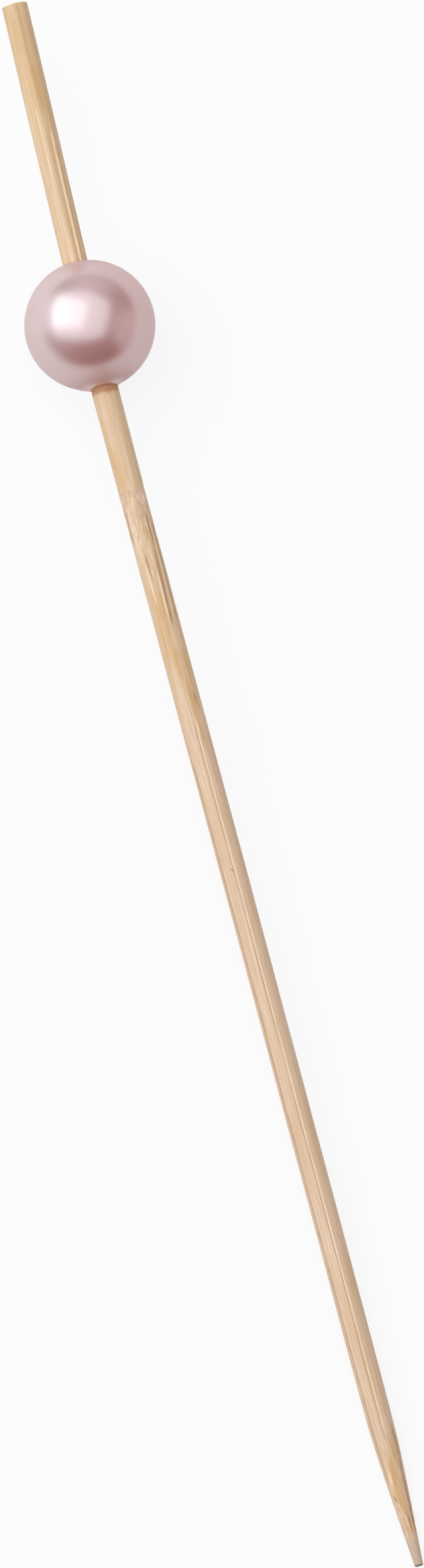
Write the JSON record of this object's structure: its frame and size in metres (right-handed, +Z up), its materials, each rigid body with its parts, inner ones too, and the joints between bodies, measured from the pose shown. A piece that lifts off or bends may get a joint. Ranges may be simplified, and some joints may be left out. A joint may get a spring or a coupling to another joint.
{
  "type": "cocktail pick",
  "caption": "Slim bamboo pick with a sharpened end and an imitation pearl bead near its blunt end, for skewering garnishes and finger food.",
  "frame": {"origin": "on the table that the pick lies on, under the middle of its length and under the bead's axis", "axes": "+Y towards the blunt end, -Y towards the point, +Z up"},
  "size_m": [0.0096, 0.1199, 0.0097],
  "materials": {
    "bamboo": "raw planed bamboo",
    "pearl": "pearl lacquer"
  },
  "bodies": {
    "root": {"bamboo_stick": "bamboo", "pearl_bead": "pearl"}
  },
  "joints": []
}
